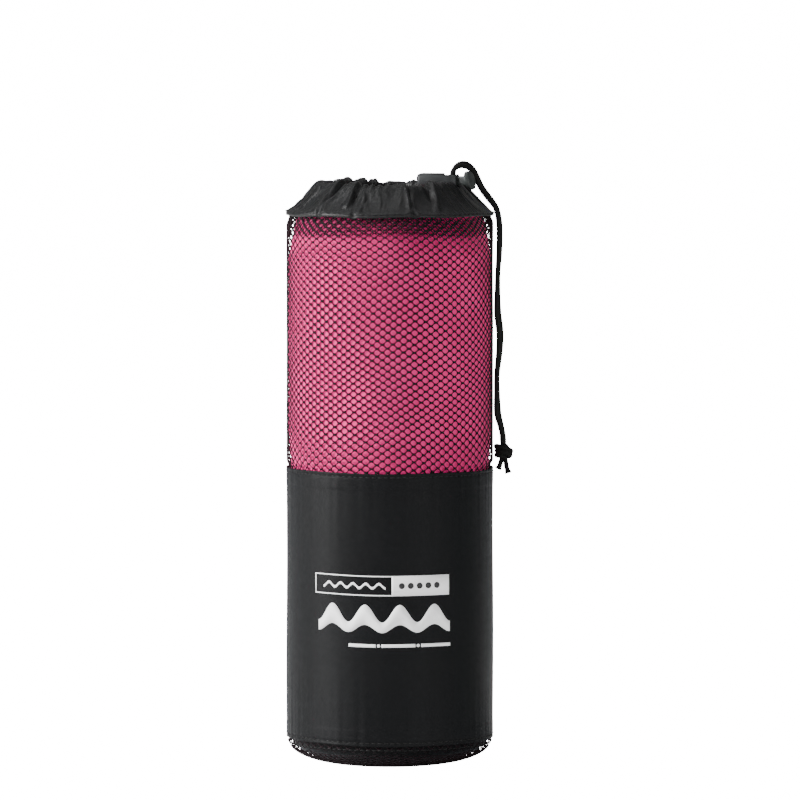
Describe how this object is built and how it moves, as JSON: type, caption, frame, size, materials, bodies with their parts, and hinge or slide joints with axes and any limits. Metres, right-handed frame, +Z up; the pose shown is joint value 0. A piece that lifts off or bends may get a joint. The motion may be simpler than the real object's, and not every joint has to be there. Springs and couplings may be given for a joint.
{
  "type": "quick dry towel",
  "caption": "Rolled microfibre towel in a cylindrical drawstring net bag with a woven band, gathered mouth, knotted cord and sprung cord lock.",
  "frame": {"origin": "centre of the bag's foot, on the surface that it stands on", "axes": "+Z up the bag's axis; the cord lock's button points to +X, turned 12 degrees towards -Y, and -Y is the front"},
  "size_m": [0.1136, 0.1052, 0.3019],
  "materials": {
    "towel": "soft suede-like microfibre, magenta pink",
    "net": "knitted polyester net, black",
    "cloth": "plain woven polyester, charcoal black, slight sheen",
    "casing_cloth": "thin satin polyester, black, gathered",
    "thread": "polyester sewing thread, black",
    "cord": "soft braided polyester cord, black",
    "lock_plastic": "moulded dark grey, matte",
    "spring_steel": "drawn spring wire"
  },
  "bodies": {
    "bag": {"net_wall": "net", "net_hem": "net", "side_seam_binding": "cloth", "band_panel": "cloth", "base_net": "net", "base_lining": "cloth", "casing": "casing_cloth", "base_seam_thread": "thread", "band_bottom_thread": "thread", "band_top_thread": "thread", "casing_thread": "thread", "drawcord_ring": "cord"},
    "towel": {"towel_roll": "towel"},
    "lock": {"lock_barrel": "lock_plastic", "lock_spring": "spring_steel", "drawcord_strand_back": "cord", "drawcord_strand_front": "cord"},
    "plunger": {"lock_plunger": "lock_plastic"},
    "knot": {"drawcord_knot": "cord", "drawcord_tail_long": "cord", "drawcord_tail_short": "cord"}
  },
  "joints": [
    {"name": "towel_lift", "type": "slide", "parent": "bag", "child": "towel", "axis": [0, 0, 1], "range_m": [0, 0.008]},
    {"name": "lock_slide", "type": "slide", "parent": "bag", "child": "lock", "axis": [0, 0, 1], "range_m": [0, 0.045], "deforming": ["drawcord_strand_back", "drawcord_strand_front"]},
    {"name": "knot_rise", "type": "slide", "parent": "lock", "child": "knot", "axis": [0, 0, 1], "range_m": [0, 0.045]},
    {"name": "plunger_press", "type": "slide", "parent": "lock", "child": "plunger", "axis": [-0.9781, 0.2079, 0], "range_m": [0, 0.003], "stiffness_N_per_m": 600, "deforming": ["lock_spring"]}
  ],
  "couplings": [
    {"joint": "knot_rise", "follows": "lock_slide", "ratio": 1}
  ]
}
